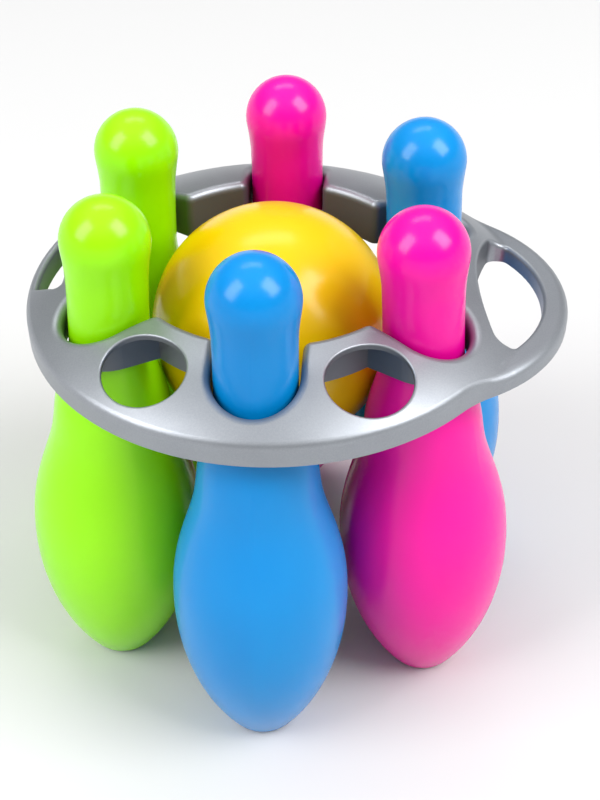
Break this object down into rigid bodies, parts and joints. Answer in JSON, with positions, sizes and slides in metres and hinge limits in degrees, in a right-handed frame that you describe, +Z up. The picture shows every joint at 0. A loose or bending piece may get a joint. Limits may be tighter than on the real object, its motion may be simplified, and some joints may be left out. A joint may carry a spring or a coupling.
{
  "type": "kids bowling set",
  "caption": "Toy skittles standing in the slots of a ring carrier with a side grip, around a ball that rests on their shoulders; the ball lifts out above, and the carrier lifts the pins by their heads.",
  "frame": {"origin": "on the floor, under the middle of the set's length and width", "axes": "+Z up, +X towards the side grip, -Y towards the front pin between the two open lobes of the carrier"},
  "size_m": [0.2494, 0.2528, 0.2585],
  "materials": {
    "carrier": "pearly silver-grey injection moulded plastic",
    "pin_blue": "semi-gloss blow moulded plastic, blue",
    "pin_magenta": "semi-gloss blow moulded plastic, magenta",
    "pin_green": "semi-gloss blow moulded plastic, lime green",
    "ball": "semi-gloss blow moulded plastic, yellow"
  },
  "bodies": {
    "carrier": {"carrier": "carrier"},
    "pin_front": {"pin_front": "pin_blue", "plug_front": "pin_blue"},
    "pin_front_right": {"pin_front_right": "pin_magenta", "plug_front_right": "pin_magenta"},
    "pin_back_right": {"pin_back_right": "pin_blue", "plug_back_right": "pin_blue"},
    "pin_back": {"pin_back": "pin_magenta", "plug_back": "pin_magenta"},
    "pin_back_left": {"pin_back_left": "pin_green", "plug_back_left": "pin_green"},
    "pin_front_left": {"pin_front_left": "pin_green", "plug_front_left": "pin_green"},
    "ball": {"ball": "ball", "ball_plug": "ball"}
  },
  "joints": [
    {"name": "drop_front", "type": "slide", "parent": "carrier", "child": "pin_front", "axis": [0, -0.0593, -0.9982], "range_m": [0, 0.025]},
    {"name": "drop_front_right", "type": "slide", "parent": "carrier", "child": "pin_front_right", "axis": [0.0514, -0.0297, -0.9982], "range_m": [0, 0.025]},
    {"name": "drop_back_right", "type": "slide", "parent": "carrier", "child": "pin_back_right", "axis": [0.0514, 0.0297, -0.9982], "range_m": [0, 0.025]},
    {"name": "drop_back", "type": "slide", "parent": "carrier", "child": "pin_back", "axis": [0, 0.0593, -0.9982], "range_m": [0, 0.025]},
    {"name": "drop_back_left", "type": "slide", "parent": "carrier", "child": "pin_back_left", "axis": [-0.0514, 0.0297, -0.9982], "range_m": [0, 0.025]},
    {"name": "drop_front_left", "type": "slide", "parent": "carrier", "child": "pin_front_left", "axis": [-0.0514, -0.0297, -0.9982], "range_m": [0, 0.025]},
    {"name": "lift_ball", "type": "slide", "parent": "carrier", "child": "ball", "axis": [0, 0, 1], "range_m": [0, 0.16]}
  ]
}
